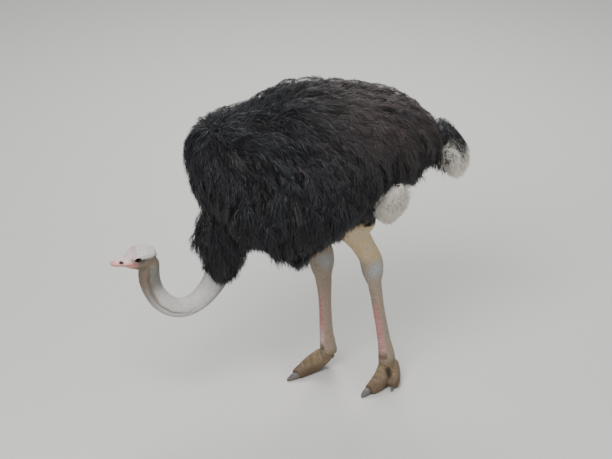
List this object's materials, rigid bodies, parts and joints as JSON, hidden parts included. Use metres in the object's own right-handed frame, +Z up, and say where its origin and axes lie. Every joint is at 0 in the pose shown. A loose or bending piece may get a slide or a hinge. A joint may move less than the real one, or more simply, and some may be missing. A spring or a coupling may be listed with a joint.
{
  "type": "ostrich",
  "caption": "Grown male ostrich standing with its long bare neck curved down and its head raised at knee height, wings folded, one foot ahead of the other.",
  "frame": {"origin": "middle of the object's footprint box, on the floor it stands on", "axes": "+Z up, the bird faces -Y along its length, its left side is +X"},
  "size_m": [0.7406, 1.6226, 1.4236],
  "materials": {
    "plumage_black": "soft black feathers with a grey sheen",
    "plumage_white": "soft off-white plumes",
    "neck_down": "short grey-white down over bare skin",
    "bill": "pale pink horn, satin",
    "eye": "wet and glossy",
    "thigh_skin": "bare tan skin with fine pores",
    "leg_scales": "overlapping horny scales, satin",
    "toe_scales": "rough brown scales, dusty",
    "claw": "dark horn, satin"
  },
  "bodies": {
    "root": {"trunk": "plumage_black", "tail": "plumage_white", "neck_base": "plumage_black", "neck_lower": "neck_down", "neck_upper": "neck_down", "head": "neck_down", "bill_upper": "bill", "bill_lower": "bill", "wing_left": "plumage_black", "wing_plumes_left": "plumage_white", "eye_left": "eye", "thigh_left": "thigh_skin", "shank_left": "leg_scales", "toe_main_left": "toe_scales", "toe_outer_left": "toe_scales", "claw_main_left": "claw", "claw_outer_left": "claw", "wing_right": "plumage_black", "wing_plumes_right": "plumage_white", "eye_right": "eye", "thigh_right": "thigh_skin", "shank_right": "leg_scales", "toe_main_right": "toe_scales", "toe_outer_right": "toe_scales", "claw_main_right": "claw", "claw_outer_right": "claw"}
  },
  "joints": []
}
